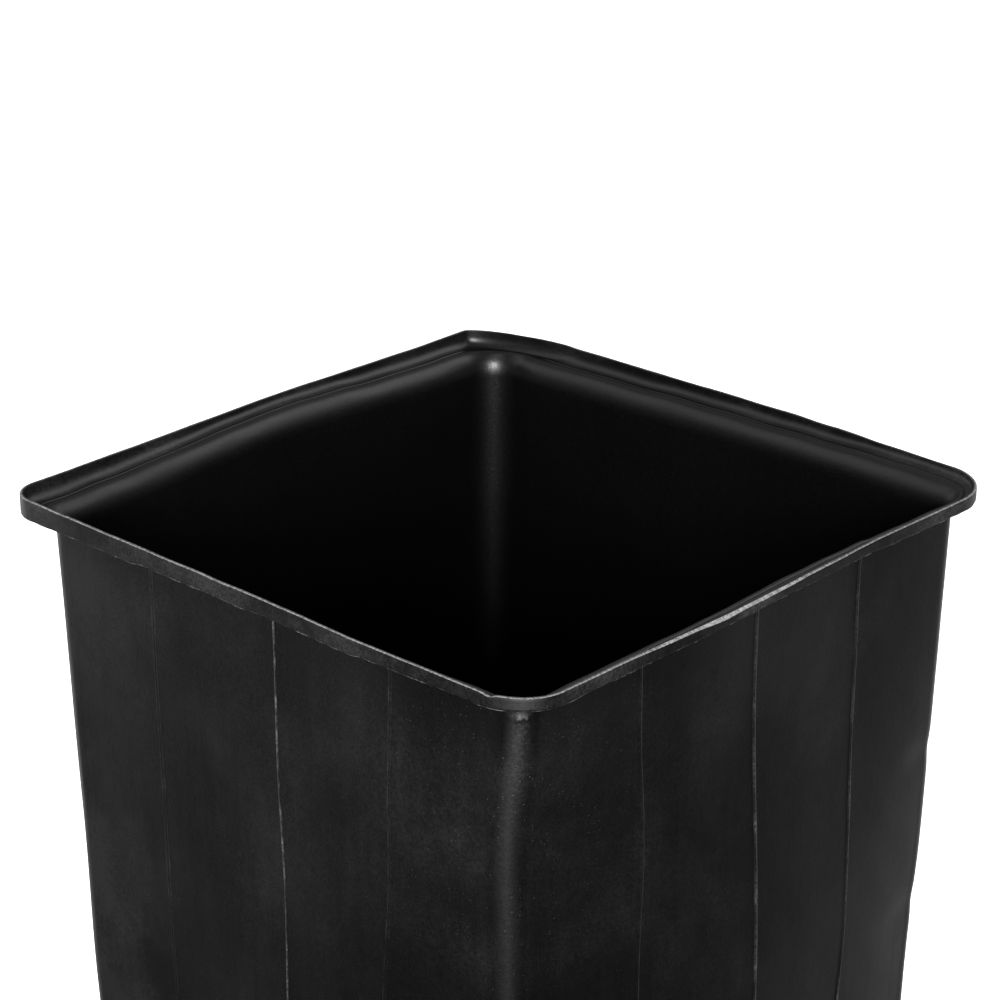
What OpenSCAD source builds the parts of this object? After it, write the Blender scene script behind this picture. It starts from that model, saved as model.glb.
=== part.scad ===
// Square florist bucket, moulded in one piece from black polyethylene.
// The moulding is divided into its own regions, which meet face to face:
// a raised base panel, a foot ring to stand on, a rounded heel, four leaning
// walls with slim upright ribs, four rounded corners, a flared ledge and an
// upstanding lip.
// Frame: origin at the middle of the standing plane, +Z up, front towards -Y.

/* [Overall] */
// Outside width of the rim, the same both ways
rim_w = 240; // [160:1:400]
// Height from the standing plane to the top of the lip
overall_h = 370; // [150:1:600]
// Lean of every wall, in degrees from upright
draft = 1.27; // [0.2:0.01:4]
// Thickness of the walls and the rim
wall_t = 1.2; // [0.8:0.1:2]
// Outside radius of the upright corners of the body
corner_r = 7; // [6.5:0.5:30]

/* [Rim] */
// How far the rim stands out past the top of the body
ledge_w = 9.6; // [9:0.1:25]
// Upstand of the lip above the ledge
lip_h = 4.4; // [3:0.1:15]
// Radius of the shoulder, where the wall turns out into the ledge
shoulder_r = 5; // [2.5:0.5:6]
// Inside radius where the ledge turns up into the lip
lip_bend_r = 2; // [1:0.25:2]
// Width of the fine groove that runs round the ledge
groove_w = 0.8; // [0.4:0.1:0.9]
// Depth of that groove
groove_d = 0.3; // [0.1:0.05:0.4]

/* [Ribs] */
// Number of ribs on each wall
rib_count = 3; // [1:1:4]
// Distance between neighbouring ribs
rib_pitch = 56; // [10:1:60]
// Width of a rib where it meets the wall
rib_w = 1; // [0.6:0.1:3]
// How far a rib stands proud of the wall
rib_h = 0.4; // [0.2:0.05:0.5]

/* [Foot] */
// Outside radius of the heel, where the walls turn under
heel_r = 5; // [3:0.5:6]
// Width of the flat ring that the bucket stands on
foot_w = 8; // [4:0.5:15]
// Inside corner radius of the standing ring
foot_corner_r = 6; // [3:0.5:12]
// Height of the base panel's underside above the standing plane
base_lift = 4; // [2:0.5:15]
// Thickness of the base panel
base_t = 1.4; // [0.8:0.1:3]

/* [Hidden] */
$fn = 96;

black_plastic = [0.10, 0.10, 0.105];
rubbed_plastic = [0.16, 0.16, 0.165];
trimmed_plastic = [0.20, 0.20, 0.205];

// Turns about Z that bring the front region round to each side or corner
FRONT = 0;
RIGHT = 90;
BACK = 180;
LEFT = 270;
FRONT_RIGHT = 0;
BACK_RIGHT = 90;
BACK_LEFT = 180;
FRONT_LEFT = 270;

// Levels, from the top down
ledge_z = overall_h - lip_h;
shoulder_z = ledge_z - shoulder_r;
// A corner has to stay rounder than the heel that runs round it
heel = min(heel_r, corner_r - 0.5);

// Half widths outside; the base comes to a whole hundredth of a millimetre,
// and the walls lean by what that leaves
lip_half = rim_w / 2;
body_half = lip_half - ledge_w;
base_half = round(100 * (body_half - tan(draft) * (shoulder_z - heel))) / 100;
lean = (body_half - base_half) / (shoulder_z - heel);
lean_angle = atan(lean);
function half_at(z) = base_half + lean * (z - heel);

// Centres of the rim's and the foot's corners, measured out from the middle
rim_centre = body_half - corner_r;
heel_centre = base_half - corner_r;
foot_half = base_half - heel;
step_half = foot_half - foot_w;

// Spare length on a solid before it is cut
spare = 5;

// A 2D rounded square about the origin
module rounded_square(half, r) {
    union() {
        square([2 * half, 2 * (half - r)], center = true);
        square([2 * (half - r), 2 * half], center = true);
        for (x = [-1, 1], y = [-1, 1])
            translate([x * (half - r), y * (half - r)])
                circle(r);
    }
}

// A quarter ring about the origin, in the quadrant that side and up point to
module quarter_ring(outer, inner, side, up) {
    intersection() {
        difference() {
            circle(outer);
            circle(inner);
        }
        translate([side < 0 ? -outer : 0, up < 0 ? -outer : 0])
            square(outer);
    }
}

// Runs a 2D section, drawn as distance out and height, round a square whose
// corners turn about points at centre
module run_round(centre) {
    for (turn = [0:90:270])
        rotate(turn) {
            rotate([90, 0, 0])
                linear_extrude(2 * centre, center = true)
                    children();
            translate([centre, centre, 0])
                rotate_extrude(angle = 90)
                    translate([-centre, 0])
                        children();
        }
}

// Keeps what lies between the heel and the shoulder
module cut_level() {
    intersection() {
        children();
        translate([-rim_w, -rim_w, heel])
            cube([2 * rim_w, 2 * rim_w, shoulder_z - heel]);
    }
}

// Carries a solid drawn flat, x across, y up and z outwards, to the front wall
module on_front_wall() {
    translate([0, -half_at(0), 0])
        rotate([90 + lean_angle, 0, 0])
            children();
}

// One leaning wall, between the lines where its rounded corners start
module wall(turn) {
    low = (heel - spare) / cos(lean_angle);
    high = (shoulder_z + spare) / cos(lean_angle);
    low_half = half_at(heel - spare) - corner_r * cos(lean_angle);
    high_half = half_at(shoulder_z + spare) - corner_r * cos(lean_angle);
    color(black_plastic)
        rotate(turn)
            cut_level()
                on_front_wall()
                    translate([0, 0, -wall_t])
                        linear_extrude(wall_t)
                            polygon([
                                [-low_half, low], [low_half, low],
                                [high_half, high], [-high_half, high]
                            ]);
}

// One rounded corner: a sector of a tube that leans out along the corner
module corner(turn) {
    tilt = atan(sqrt(2) * lean);
    sweep = acos(pow(sin(lean_angle), 2));
    axis_out = (half_at(0) - corner_r / cos(lean_angle)) * sqrt(2);
    reach = 2 * corner_r;
    color(black_plastic)
        rotate(turn - 45)
            cut_level()
                translate([axis_out, 0, 0])
                    rotate([0, tilt, 0])
                        translate([0, 0, -spare])
                            linear_extrude(overall_h + 2 * spare)
                                intersection() {
                                    difference() {
                                        circle(corner_r);
                                        circle(corner_r - wall_t);
                                    }
                                    polygon([
                                        [0, 0],
                                        [reach * cos(sweep / 2), -reach * sin(sweep / 2)],
                                        [reach * cos(sweep / 2), reach * sin(sweep / 2)]
                                    ]);
                                }
}

// The slim half-round ribs of one wall, each a separate bead
module ribs(turn) {
    bead_r = (pow(rib_w / 2, 2) + pow(rib_h, 2)) / (2 * rib_h);
    color(rubbed_plastic)
        rotate(turn)
            cut_level()
                on_front_wall()
                    for (i = [0:rib_count - 1])
                        translate([(i - (rib_count - 1) / 2) * rib_pitch, 0, 0])
                            rotate([-90, 0, 0])
                                translate([0, 0, -spare])
                                    linear_extrude(overall_h + 2 * spare)
                                        intersection() {
                                            translate([0, bead_r - rib_h])
                                                circle(bead_r);
                                            translate([-rib_w, -rib_h])
                                                square([2 * rib_w, rib_h]);
                                        }
}

// The panel that closes the bottom, held up off the ground
module base_panel() {
    color(black_plastic)
        translate([0, 0, base_lift])
            linear_extrude(base_t)
                rounded_square(step_half - wall_t, foot_corner_r - wall_t);
}

// The heel, where the walls turn under
module heel_ring() {
    color(black_plastic)
        run_round(heel_centre)
            translate([foot_half, heel])
                quarter_ring(heel, heel - wall_t, 1, -1);
}

// The flat ring to stand on and the step up from it to the base panel
module foot_ring() {
    step_top = base_lift + base_t;
    color(black_plastic)
        difference() {
            linear_extrude(step_top)
                difference() {
                    rounded_square(foot_half, corner_r - heel);
                    rounded_square(step_half - wall_t, foot_corner_r - wall_t);
                }
            // What lies above the flat ring, outside the step
            translate([0, 0, wall_t])
                linear_extrude(step_top)
                    difference() {
                        square(2 * foot_half + spare, center = true);
                        rounded_square(step_half, foot_corner_r);
                    }
        }
}

// The shoulder and the flat ledge, with the fine groove between them
module rim_ledge() {
    bend_end = body_half - wall_t + shoulder_r;
    ledge_end = lip_half - wall_t - lip_bend_r;
    color(black_plastic)
        run_round(rim_centre)
            difference() {
                union() {
                    translate([bend_end, shoulder_z])
                        quarter_ring(shoulder_r, shoulder_r - wall_t, -1, 1);
                    translate([bend_end, ledge_z - wall_t])
                        square([ledge_end - bend_end, wall_t]);
                }
                groove_r = (pow(groove_w / 2, 2) + pow(groove_d, 2)) / (2 * groove_d);
                translate([bend_end + groove_w / 2, ledge_z + groove_r - groove_d])
                    circle(groove_r);
            }
}

// The bend at the ledge's edge and the upright lip, cut off level at the top
module rim_lip() {
    bend_centre = lip_half - wall_t - lip_bend_r;
    color(trimmed_plastic)
        run_round(rim_centre)
            union() {
                translate([bend_centre, ledge_z + lip_bend_r])
                    quarter_ring(lip_bend_r + wall_t, lip_bend_r, 1, -1);
                translate([lip_half - wall_t, ledge_z + lip_bend_r])
                    square([wall_t, lip_h - lip_bend_r]);
            }
}

module front_wall() { wall(FRONT); }
module right_wall() { wall(RIGHT); }
module back_wall() { wall(BACK); }
module left_wall() { wall(LEFT); }
module front_right_corner() { corner(FRONT_RIGHT); }
module back_right_corner() { corner(BACK_RIGHT); }
module back_left_corner() { corner(BACK_LEFT); }
module front_left_corner() { corner(FRONT_LEFT); }
module front_ribs() { ribs(FRONT); }
module right_ribs() { ribs(RIGHT); }
module back_ribs() { ribs(BACK); }
module left_ribs() { ribs(LEFT); }

base_panel();
foot_ring();
heel_ring();
front_wall();
right_wall();
back_wall();
left_wall();
front_right_corner();
back_right_corner();
back_left_corner();
front_left_corner();
front_ribs();
right_ribs();
back_ribs();
left_ribs();
rim_ledge();
rim_lip();
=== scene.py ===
"""A square florist bucket, moulded in one piece from black polyethylene.

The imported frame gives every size. The moulding is drawn as one thin skin, a section swept round
a square, and is settled the way a cooled moulding is: it shrinks a little, its walls bow and its
ledge waves. The skin is then cut into the frame's own regions, which keep its smooth shading.
Lengths are in metres, +Z is up and the front looks towards -Y.
"""

import functools
import math

import bmesh
import bpy
import numpy as np
from mathutils import Matrix, Vector


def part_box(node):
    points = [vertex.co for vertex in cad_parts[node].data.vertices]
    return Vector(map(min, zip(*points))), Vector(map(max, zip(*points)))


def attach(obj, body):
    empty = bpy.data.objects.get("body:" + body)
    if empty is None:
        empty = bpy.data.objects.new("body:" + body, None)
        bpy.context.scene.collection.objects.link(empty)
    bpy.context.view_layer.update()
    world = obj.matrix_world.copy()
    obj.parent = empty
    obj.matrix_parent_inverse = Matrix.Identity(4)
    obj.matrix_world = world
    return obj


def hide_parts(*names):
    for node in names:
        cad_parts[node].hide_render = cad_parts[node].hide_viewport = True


bl_info = {
    "name": "Florist bucket",
    "version": (1, 0, 0),
    "blender": (4, 5, 0),
    "location": "3D View > Sidebar > Florist bucket",
    "description": "Builds a square black florist bucket around its packed frame",
    "category": "Object",
}

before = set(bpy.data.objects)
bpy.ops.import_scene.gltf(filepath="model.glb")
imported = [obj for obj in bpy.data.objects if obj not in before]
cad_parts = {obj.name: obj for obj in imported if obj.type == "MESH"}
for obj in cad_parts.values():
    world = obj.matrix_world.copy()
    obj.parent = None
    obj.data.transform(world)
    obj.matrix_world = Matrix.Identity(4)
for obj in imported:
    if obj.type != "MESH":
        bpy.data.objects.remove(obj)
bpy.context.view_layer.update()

MM = 0.001
SIDES = ("front", "right", "back", "left")
# The corner at the far end of each side, going round from the front towards the right
CORNERS = ("front_right", "back_right", "back_left", "front_left")
SIDE_TURN = math.pi / 2


# ---------------------------------------------------------------- sizes from the frame

LIP_LOW, LIP_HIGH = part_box("rim_lip")
LEDGE_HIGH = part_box("rim_ledge")[1]
WALL_LOW, WALL_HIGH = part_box("front_wall")
CORNER_LOW, CORNER_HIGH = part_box("front_right_corner")
HEEL_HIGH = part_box("heel_ring")[1]
FOOT_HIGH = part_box("foot_ring")[1]
PANEL_LOW, PANEL_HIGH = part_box("base_panel")
RIBS_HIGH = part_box("front_ribs")[1]

LIP_HALF = LIP_HIGH.x
LIP_TOP = LIP_HIGH.z
LEDGE_UNDER = LIP_LOW.z
LEDGE_TOP = LEDGE_HIGH.z
WALL_T = LEDGE_TOP - LEDGE_UNDER
BODY_HALF = CORNER_HIGH.x
BASE_HALF = HEEL_HIGH.x
SHOULDER_Z = WALL_HIGH.z
HEEL_Z = WALL_LOW.z
RIM_CENTRE = WALL_HIGH.x
HEEL_CENTRE = CORNER_LOW.x
CORNER_R = BODY_HALF - RIM_CENTRE
LEAN = (BODY_HALF - BASE_HALF) / (SHOULDER_Z - HEEL_Z)
SHOULDER_R = LEDGE_TOP - SHOULDER_Z
LEDGE_END = LEDGE_HIGH.x
LIP_BEND_R = LIP_HALF - WALL_T - LEDGE_END
FOOT_HALF = FOOT_HIGH.x
PANEL_HALF = PANEL_HIGH.x
STEP_HALF = PANEL_HALF + WALL_T
PANEL_CORNER_R = 4.8 * MM
STEP_CENTRE = PANEL_HALF - PANEL_CORNER_R

# The bend from the wall to the ledge is softer inside than the frame's
BEND_WIDE = SHOULDER_R + 0.4 * MM
BEND_TALL = SHOULDER_R + 5 * MM
BEND_START = LEDGE_TOP - BEND_TALL
# The lip turns up more softly too: how much the radius of its bend gains
SOFT_LIP = 1.0 * MM
# Edges of the step under the base, outside and inside
STEP_EDGE_R = 0.8 * MM
STEP_INSIDE_R = 1.0 * MM
# Half width of the square in the middle of the base, where its rows begin
MIDDLE_HALF = 6 * MM
# The fine groove round the ledge: distances from its inner edge, and depths there
GROOVE_ACROSS = np.array([0, 0.14, 0.4, 0.66, 0.8]) * MM
GROOVE_DEPTH = np.array([0, 0.2, 0.3, 0.2, 0]) * MM
# The lip's outside: radius of its lower edge, and height of the burr's line above that edge
LIP_EDGE_R = 1.0 * MM
BURR_RISE = 1.4 * MM
BURR_ROW = 6
# The softened edge of the cut through the lip: steps in from its side and down from its top
CUT_EDGE = np.array([[0, -0.3], [-0.03, -0.12], [-0.12, -0.03], [-0.25, 0]]) * MM


def half_at(z):
    """Outside half width of the body at a height."""
    return BASE_HALF + LEAN * (z - HEEL_Z)


# ---------------------------------------------------------------- how the moulding has settled

# How much further each rim corner starts before its turn and ends after it than a plain
# corner, in the order of CORNERS, and how the turn is spent: 1 turns evenly, more turns late
RIM_CORNER_BEFORE = np.array([3.8, 5.0, 26.0, -5.0]) * MM
RIM_CORNER_AFTER = np.array([0.8, 5.0, -1.5, -5.0]) * MM
RIM_CORNER_BLEND = np.array([1.0, 1.0, 1.3, 1.0])
# Extra radius of each body corner
BODY_CORNER_EXTRA = np.array([1.6, 1.0, 7.0, 0.0]) * MM
# How far each rim corner has drawn in or out, as x and y
RIM_CORNER_SHIFT = np.array([[-1.5, -0.5], [0.8, -1.6], [1.1, -0.6], [0.9, 0.0]]) * MM
# How far each body corner has wandered half way down, as x and y
BODY_CORNER_SHIFT = np.array([[-4.7, -3.0], [0.3, -0.4], [0.4, -0.5], [0.5, 0.4]]) * MM
# A closer bend in the front corner, under the rim: its size as x and y, depth and reach
CORNER_BEND = (-2.4 * MM, -1.2 * MM, 50 * MM, 34 * MM)
# Bows in the rim: side, middle along the side, reach and height
RIM_BOWS = (
    ("front", 55, 28, 0.9),
    ("right", -28, 30, 1.2),
    ("right", 50, 24, -0.8),
    ("back", -25, 48, 2.2),
    ("back", 88, 16, -1.6),
    ("left", -5, 48, 2.0),
)
# Level of the ledge at the four corners and the four side middles, from the front left corner
LEDGE_WAVE = np.array([-2.2, -0.6, 1.3, 2.8, 1.2, -0.8, -1.8, 0.5]) * MM
# Small steps in the ledge's level where the mould's ribs run into it: side, place and height
LEDGE_STEPS = (("front", -52, 0.5), ("front", 2, 0.35), ("front", 50, 0.4), ("right", 52, -0.3))
# Dents in the back right corner: height and depth
CORNER_DENTS = ((270, 0.45), (209, 0.4))
DENT_REACH = 5
# Where the knife ran off level on the right side: middle and reach
SLANT_MIDDLE = -25
SLANT_REACH = 40
# Patches round the front corner, as middle and reach of the turn in degrees: its band of
# painted highlight and painted shade, where flash has torn and where the lip is notched
PAINTED_BAND_TURN = (45, 28)
TORN_TURN = (47, 17)
NOTCH_TURN = (15, 5)
# The height from which the front corner gets a painted highlight, and those between which its haze
# goes, a painted shade lower down
PAINTED_HIGHLIGHT_FROM = 290 * MM
PAINTED_SHADE_BELOW = (335 * MM, 265 * MM)
# Fullness of each wall's swell, as a share of the swell that the settings give
SWELL_SHARES = (0.1, 1.0, 0.35, 0.45)


def smooth_step(low, high, value):
    """Rises from 0 at low to 1 at high with soft ends."""
    share = np.clip((value - low) / (high - low), 0, 1)
    return share * share * (3 - 2 * share)


def bump(value, middle, reach):
    """A soft bump of height 1."""
    return np.exp(-(((value - middle) / reach) ** 2))


def waves(seed, count, shortest, longest):
    """Wave vectors and phases for a smooth random field."""
    draw = np.random.default_rng(seed)
    direction = draw.normal(size=(count, 3))
    direction /= np.linalg.norm(direction, axis=1)[:, None]
    length = draw.uniform(shortest, longest, count)
    return direction * (2 * math.pi / length)[:, None], draw.uniform(0, 2 * math.pi, count)


def field(waviness, x, y, z):
    """A smooth random field of about unit size at the points."""
    vectors, phases = waviness
    total = 0
    for vector, phase in zip(vectors, phases):
        total = total + np.sin(vector[0] * x + vector[1] * y + vector[2] * z + phase)
    return total * math.sqrt(2 / len(phases))


BROAD_WAVES = waves(11, 9, 60 * MM, 160 * MM)
CLOSE_WAVES = waves(12, 12, 16 * MM, 42 * MM)
RAGGED_WAVES = waves(13, 16, 1.6 * MM, 7 * MM)
SLOW_RAGGED_WAVES = waves(14, 10, 9 * MM, 30 * MM)


class Place:
    """Places round the bucket: a side, how far along it, and a turn where it rounds a corner."""

    def __init__(self, side, along, turn, round_part):
        self.side = np.asarray(side)
        self.along = np.asarray(along, float)
        self.turn = np.asarray(turn, float)
        self.round_part = np.asarray(round_part)

    def on(self, side):
        """Whether a place is on a side or on the corner that ends it."""
        return self.side == SIDES.index(side)

    def front_corner(self, middle, reach):
        """A soft patch on the front corner, at a turn in degrees."""
        return bump(np.degrees(self.turn), middle, reach) * self.round_part * self.on("front")

    @property
    def lap(self):
        """Distance round in sides, from the front left corner."""
        return self.side + (self.along + 1) / 2

    @property
    def share_right(self):
        """How much of the place belongs to the corner at the side's right-hand end."""
        return np.where(self.round_part, 1, (1 + self.along) / 2)


def ledge_wave(place, across):
    """Height that the ledge has moved, at places and distances across their side."""
    knots = np.append(LEDGE_WAVE, LEDGE_WAVE[0])
    lap = (place.lap * 2) % 8
    low = np.floor(lap).astype(int) % 8
    share = lap - np.floor(lap)
    share = share * share * (3 - 2 * share)
    wave = knots[low] * (1 - share) + knots[low + 1] * share
    for side, middle, height in LEDGE_STEPS:
        step = np.tanh((across / MM - middle) / 1.2) * bump(across / MM, middle, 14)
        wave = wave + np.where(place.on(side), step * height * MM, 0)
    return wave


def trim_depth(place, across, deepest):
    """How far the cut through the lip slopes down on its outside."""
    plain = 0.12 * MM
    slant = deepest * bump(across / MM, SLANT_MIDDLE, SLANT_REACH) * place.on("right")
    return plain + slant * (1 - place.round_part)


def corner_extra(corner, z):
    """Extra radius of a body corner at a height."""
    return BODY_CORNER_EXTRA[corner] * smooth_step(10 * MM, 60 * MM, z)


def in_rim(z):
    """How far a height belongs to the rim and what hangs under it."""
    return smooth_step(SHOULDER_Z - 130 * MM, SHOULDER_Z, z)


def in_body(z):
    """How far a height belongs to the free middle of the walls."""
    return smooth_step(SHOULDER_Z, SHOULDER_Z - 150 * MM, z) * smooth_step(0, 110 * MM, z)


def side_point(place, centre, out, z, level):
    """The point on its side's own plan, x along and y across, with the corners as settled."""
    right = place.side
    left = (place.side - 1) % 4
    at_left = corner_extra(left, z) * (1 - level)
    at_right = corner_extra(right, z) * (1 - level)
    centre_left = centre - at_left - RIM_CORNER_AFTER[left] * level
    centre_right = centre - at_right - RIM_CORNER_BEFORE[right] * level
    centre_after = centre - at_right - RIM_CORNER_AFTER[right] * level
    power = 1 + (RIM_CORNER_BLEND[right] - 1) * level
    x = place.share_right * centre_right - (1 - place.share_right) * centre_left
    x = x + (out - centre_right) * np.sin(place.turn) ** power
    rounded = -centre_after - (out - centre_after) * np.maximum(np.cos(place.turn), 0) ** power
    y = np.where(place.round_part, rounded, -out)
    return x, y


def outward_push(place, x, z, shape):
    """How far bows in the rim and swells in the walls carry a side outwards."""
    window = 1 - place.along**8
    push = 0
    for side, middle, reach, height in RIM_BOWS:
        bow = place.on(side) * height * MM * bump(x / MM, middle, reach)
        push = push + bow * in_rim(z) * window
    swell = np.array(SWELL_SHARES)[place.side] * shape.swell
    return push + swell * in_body(z) * (1 - place.along**2)


def with_corners(place, x, y, z):
    """The point moved along with the corners that have wandered."""
    right = place.side
    left = (place.side - 1) % 4
    share_right = place.share_right
    share_left = 1 - share_right
    for shifts, weight in ((RIM_CORNER_SHIFT, in_rim(z)), (BODY_CORNER_SHIFT, in_body(z))):
        shift_x = share_left * shifts[left, 0] + share_right * shifts[right, 0]
        shift_y = share_left * shifts[left, 1] + share_right * shifts[right, 1]
        x = x + shift_x * weight
        y = y + shift_y * weight
    bend_x, bend_y, depth, reach = CORNER_BEND
    near = share_left * (left == 0) + share_right * (right == 0)
    near = near**2 * bump(z, SHOULDER_Z - depth, reach)
    return x + bend_x * near, y + bend_y * near


def unevenness(place, x, y, z):
    """How far uneven cooling and dents have moved the surface outwards."""
    uneven = field(BROAD_WAVES, x, y, z) * 0.28 * MM
    uneven = uneven + field(CLOSE_WAVES, x, y, z) * 0.035 * MM
    uneven = uneven * (1 - 0.75 * in_rim(z)) * smooth_step(2 * MM, 30 * MM, z)
    on_corner = np.where(place.round_part, 1, smooth_step(0.8, 1, place.along))
    near_dents = place.on("right") * on_corner
    near_dents = near_dents + place.on("back") * smooth_step(-0.8, -1, place.along)
    for height, depth in CORNER_DENTS:
        uneven = uneven - near_dents * depth * MM * bump(z / MM, height, DENT_REACH)
    return uneven


def settle(place, centre, out, z, level, shape, lip_share=0.0):
    """Points of the settled moulding.

    centre and out place the ring, level is how far up the rim's flare it lies and lip_share how
    far up the lip.
    """
    x, y = side_point(place, centre, out, z, level)
    keep = 1 - shape.shrinkage / 100
    x = x * keep
    y = y * keep
    push = outward_push(place, x, z, shape)
    turn_cos = np.cos(place.turn)
    turn_sin = np.sin(place.turn)
    x = x + push * turn_sin
    y = y - push * turn_cos
    # round to the side's own place
    angle = place.side * SIDE_TURN
    world_x = x * np.cos(angle) - y * np.sin(angle)
    world_y = x * np.sin(angle) + y * np.cos(angle)
    out_x = turn_sin * np.cos(angle) + turn_cos * np.sin(angle)
    out_y = turn_sin * np.sin(angle) - turn_cos * np.cos(angle)
    world_x, world_y = with_corners(place, world_x, world_y, z)
    uneven = unevenness(place, world_x, world_y, z)
    world_x = world_x + out_x * uneven
    world_y = world_y + out_y * uneven
    # the ledge's own wave, which the lip's level top evens out
    wave = ledge_wave(place, x) * smooth_step(SHOULDER_Z - 30 * MM, SHOULDER_Z, z)
    ragged = field(SLOW_RAGGED_WAVES, world_x, world_y, 0) * 0.12 * MM
    ragged = ragged * smooth_step(LEDGE_UNDER - 3 * MM, LEDGE_UNDER, z)
    height = z + (wave + ragged) * (1 - lip_share)
    return np.stack([world_x, world_y, height], axis=-1)


# ---------------------------------------------------------------- the section


def arc(centre, radius, start, end, steps):
    """Points on an arc, with its angles in degrees."""
    angles = np.radians(np.linspace(start, end, steps + 1))
    across = centre[0] + radius * np.cos(angles)
    up = centre[1] + radius * np.sin(angles)
    return np.column_stack([across, up])


def ellipse(centre, size, start, end, steps):
    """Points on an ellipse, with its angles in degrees."""
    return arc((0, 0), 1, start, end, steps) * size + centre


def line(start, end, steps):
    """Points on a straight line."""
    return np.linspace(start, end, steps + 1)


class Section:
    """The moulding's section, as rows that pair a point outside with a point inside."""

    def __init__(self):
        self.outside = []
        self.inside = []
        self.centre = []
        self.lip_share = []
        self.rub_and_highlight = []
        self.flash = []
        self.region = []
        self.groove = None

    def run(self, region, outside, inside, centre, lip_share=0.0, rub_and_highlight=0.0, flash=0.0):
        """Adds rows, but not the first one where it repeats the end of the run before."""
        first = 1 if self.region else 0
        count = len(outside)

        def spread(value):
            return np.broadcast_to(np.asarray(value, float), (count,))[first:]

        self.outside.extend(outside[first:])
        self.inside.extend(inside[first:])
        self.centre.extend(spread(centre))
        self.lip_share.extend(spread(lip_share))
        self.rub_and_highlight.extend(spread(rub_and_highlight))
        self.flash.extend(spread(flash))
        self.region.extend([region] * (count - first))


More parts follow.
